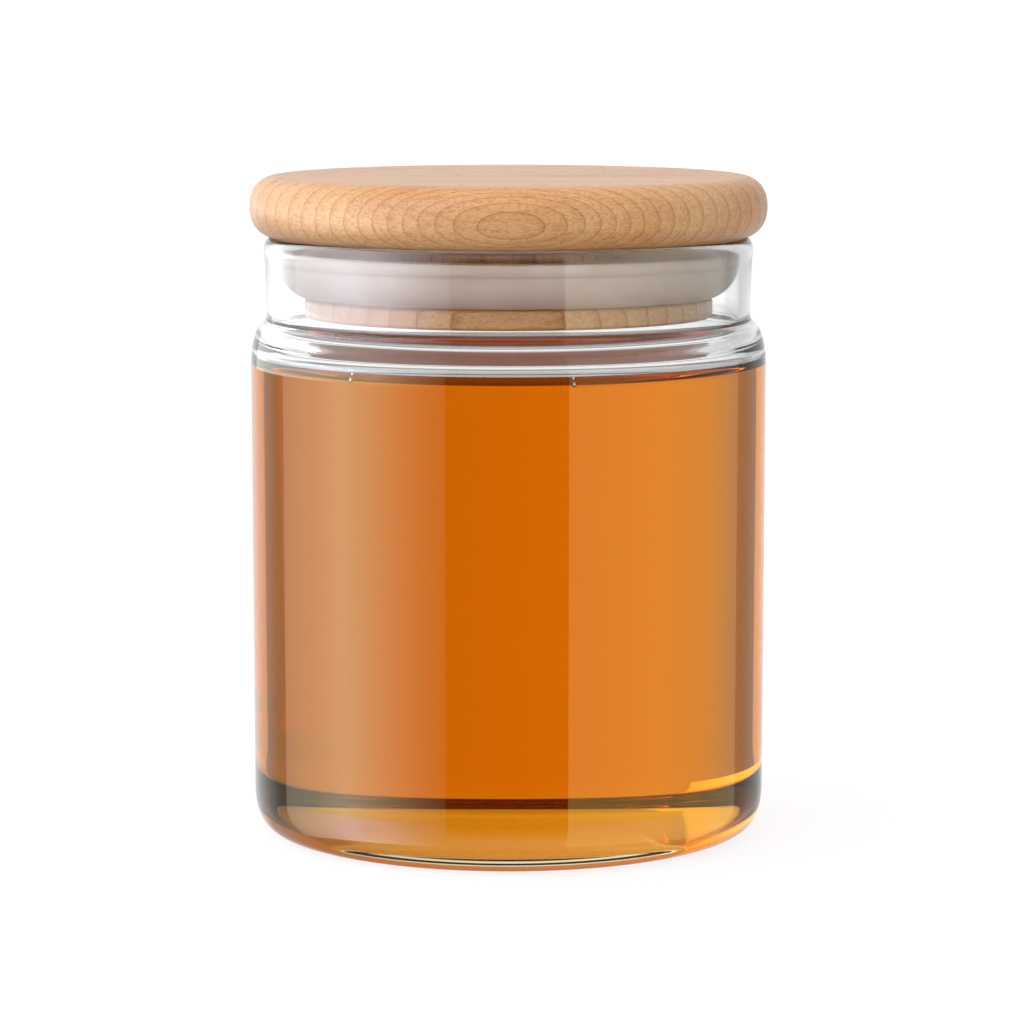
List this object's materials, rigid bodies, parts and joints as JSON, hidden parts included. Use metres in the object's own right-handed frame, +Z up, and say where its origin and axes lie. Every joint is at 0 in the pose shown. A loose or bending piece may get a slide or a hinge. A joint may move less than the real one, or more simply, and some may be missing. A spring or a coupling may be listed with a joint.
{
  "type": "honey jar",
  "caption": "Clear glass storage jar with a low shoulder and straight neck, filled with amber honey and closed by a turned beech lid whose plug carries a silicone gasket.",
  "frame": {"origin": "centre of the flat foot that the jar stands on", "axes": "+Z up along the jar's axis of turning; the jar is the same all round, and -Y is taken as its front"},
  "size_m": [0.0852, 0.0852, 0.1086],
  "materials": {
    "glass": "clear, fire-polished",
    "honey": "clear amber liquid, glossy",
    "beech": "turned and fine-sanded, bare",
    "silicone": "moulded, translucent white, satin"
  },
  "bodies": {
    "root": {"glass_jar": "glass", "honey": "honey", "lid": "beech", "gasket": "silicone"}
  },
  "joints": []
}
